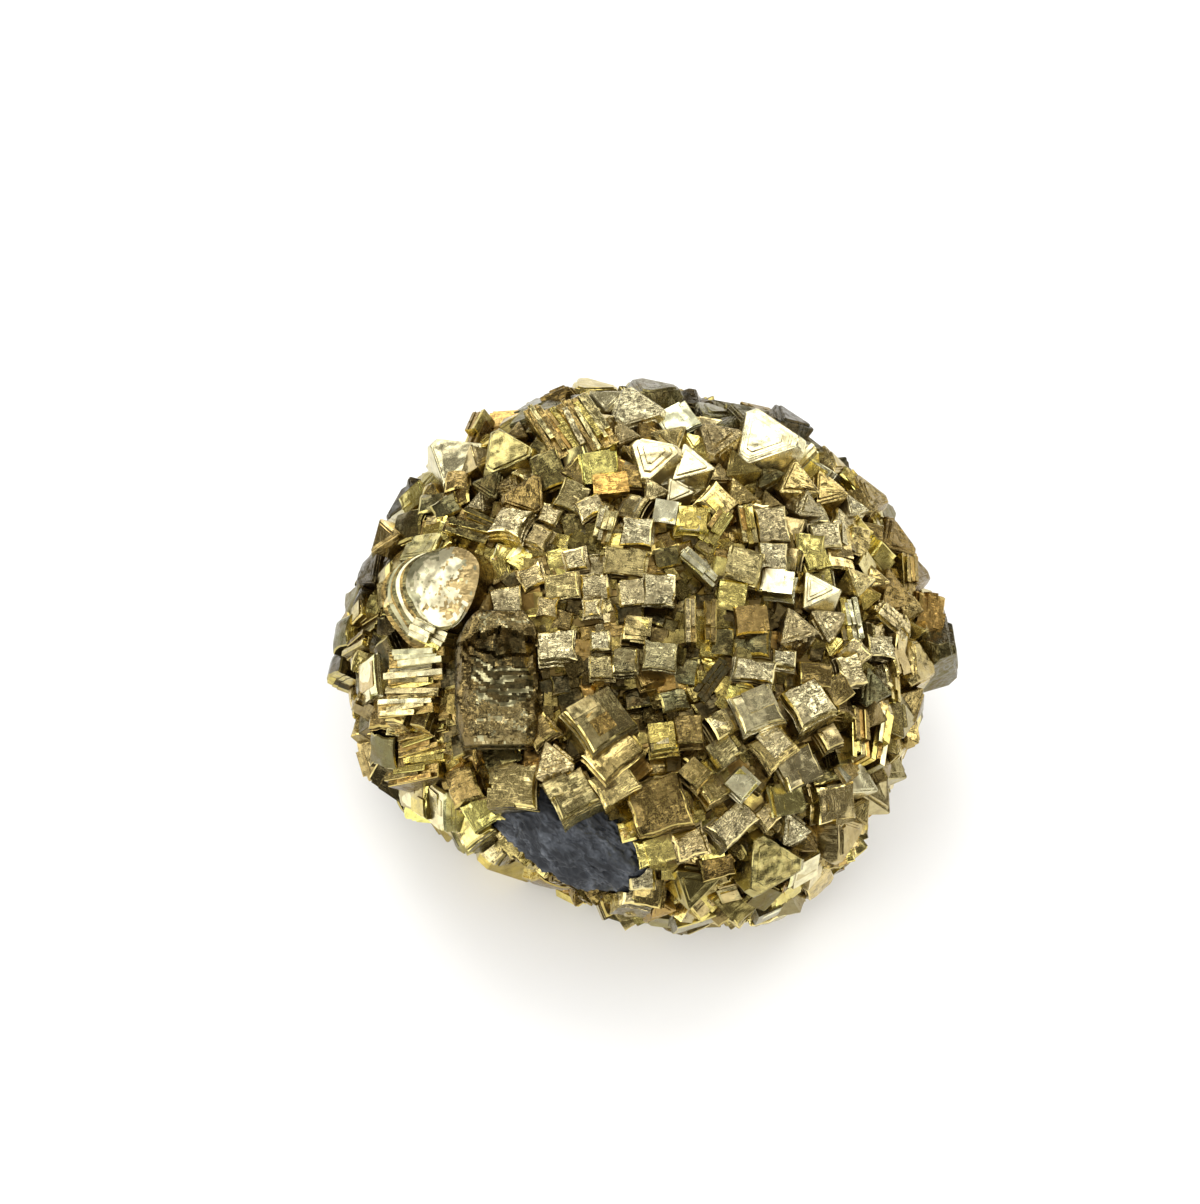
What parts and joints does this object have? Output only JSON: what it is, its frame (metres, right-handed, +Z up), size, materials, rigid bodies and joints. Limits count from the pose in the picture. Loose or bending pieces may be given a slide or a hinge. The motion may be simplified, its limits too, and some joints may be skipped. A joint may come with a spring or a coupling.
{
  "type": "marcasite crystal cluster",
  "caption": "Rounded hand specimen of intergrown brassy cubic and eight-sided crystals with a window of dark host rock, cut flat underneath to rest on.",
  "frame": {"origin": "middle of the specimen's box, on the flat underside that it rests on", "axes": "+Z up off the surface it rests on, +X along its longest side, -Y towards the viewer of the side with the best crystals"},
  "size_m": [0.0632, 0.0596, 0.0382],
  "materials": {
    "brassy_crystal": "natural crystal faces of an iron sulphide, pale brass to olive, mirror bright to rough and pitted, with orange tarnish in the gaps",
    "dark_host_rock": null
  },
  "bodies": {
    "root": {"crystal_cluster": "brassy_crystal", "host_rock": "dark_host_rock"}
  },
  "joints": []
}
